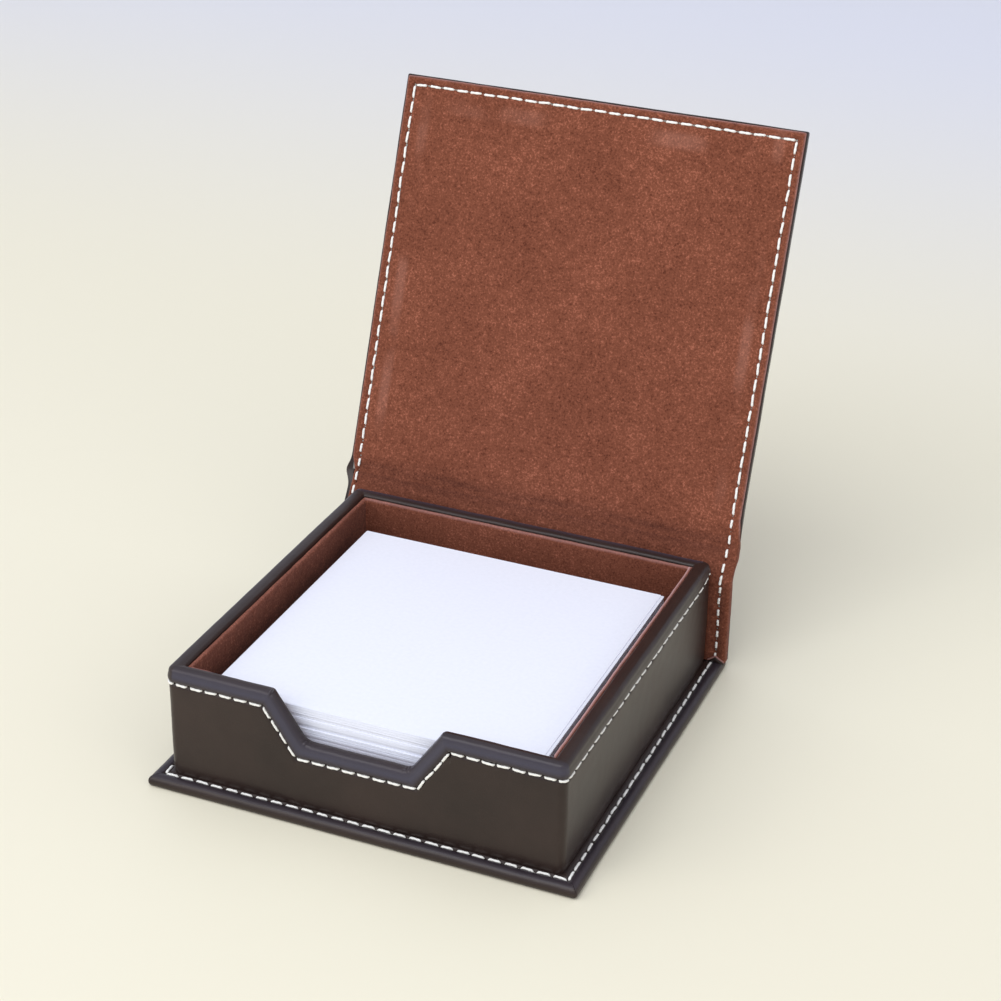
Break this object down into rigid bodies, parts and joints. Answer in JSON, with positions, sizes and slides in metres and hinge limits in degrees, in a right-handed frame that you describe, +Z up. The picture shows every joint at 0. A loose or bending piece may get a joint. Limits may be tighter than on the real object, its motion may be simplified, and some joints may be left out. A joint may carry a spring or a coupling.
{
  "type": "flip-lid memo box",
  "caption": "Square leather-covered memo box with a notched tray for loose note sheets and a book-style lid that folds back on a soft hinge.",
  "frame": {"origin": "centre of the base's underside, on the surface it stands on", "axes": "+Z up, -Y to the front with the finger notch, +Y to the spine and the lid, +X to the right seen from the front"},
  "size_m": [0.12, 0.1639, 0.1463],
  "materials": {
    "dark_leather": "dark brown smooth-grained leatherette with a satin sheen",
    "brown_suede": "reddish-brown brushed microfibre suede, matte",
    "grey_board": "plain grey bookbinding board",
    "white_thread": "waxed white sewing thread",
    "memo_paper": "smooth uncoated white paper"
  },
  "bodies": {
    "case": {"base_board": "grey_board", "base_cover": "dark_leather", "base_stitching": "white_thread", "front_wall": "grey_board", "rear_wall": "grey_board", "left_wall": "grey_board", "right_wall": "grey_board", "tray_cover": "dark_leather", "tray_stitching": "white_thread", "floor_lining": "brown_suede", "front_lining": "brown_suede", "rear_lining": "brown_suede", "left_lining": "brown_suede", "right_lining": "brown_suede", "spine_board": "grey_board", "spine_cover": "dark_leather", "spine_lining": "brown_suede", "spine_stitching": "white_thread", "fold_leather": "dark_leather", "fold_suede": "brown_suede"},
    "lid": {"lid_board": "grey_board", "lid_cover": "dark_leather", "lid_lining": "brown_suede", "lid_stitching": "white_thread"},
    "memo_stack": {"memo_sheets_1": "memo_paper", "memo_sheets_2": "memo_paper", "memo_sheets_3": "memo_paper", "memo_sheets_4": "memo_paper", "memo_sheets_5": "memo_paper", "memo_sheets_6": "memo_paper", "memo_sheets_7": "memo_paper", "memo_sheets_8": "memo_paper"}
  },
  "joints": [
    {"name": "lid_hinge", "type": "hinge", "parent": "case", "child": "lid", "pos_m": [0, 0.059, 0.035], "axis": [-1, 0, 0], "range_deg": [-111.12, 83], "deforming": ["fold_leather", "fold_suede"]},
    {"name": "stack_lift", "type": "slide", "parent": "case", "child": "memo_stack", "axis": [0, 0, 1], "range_m": [0, 0.035]}
  ]
}
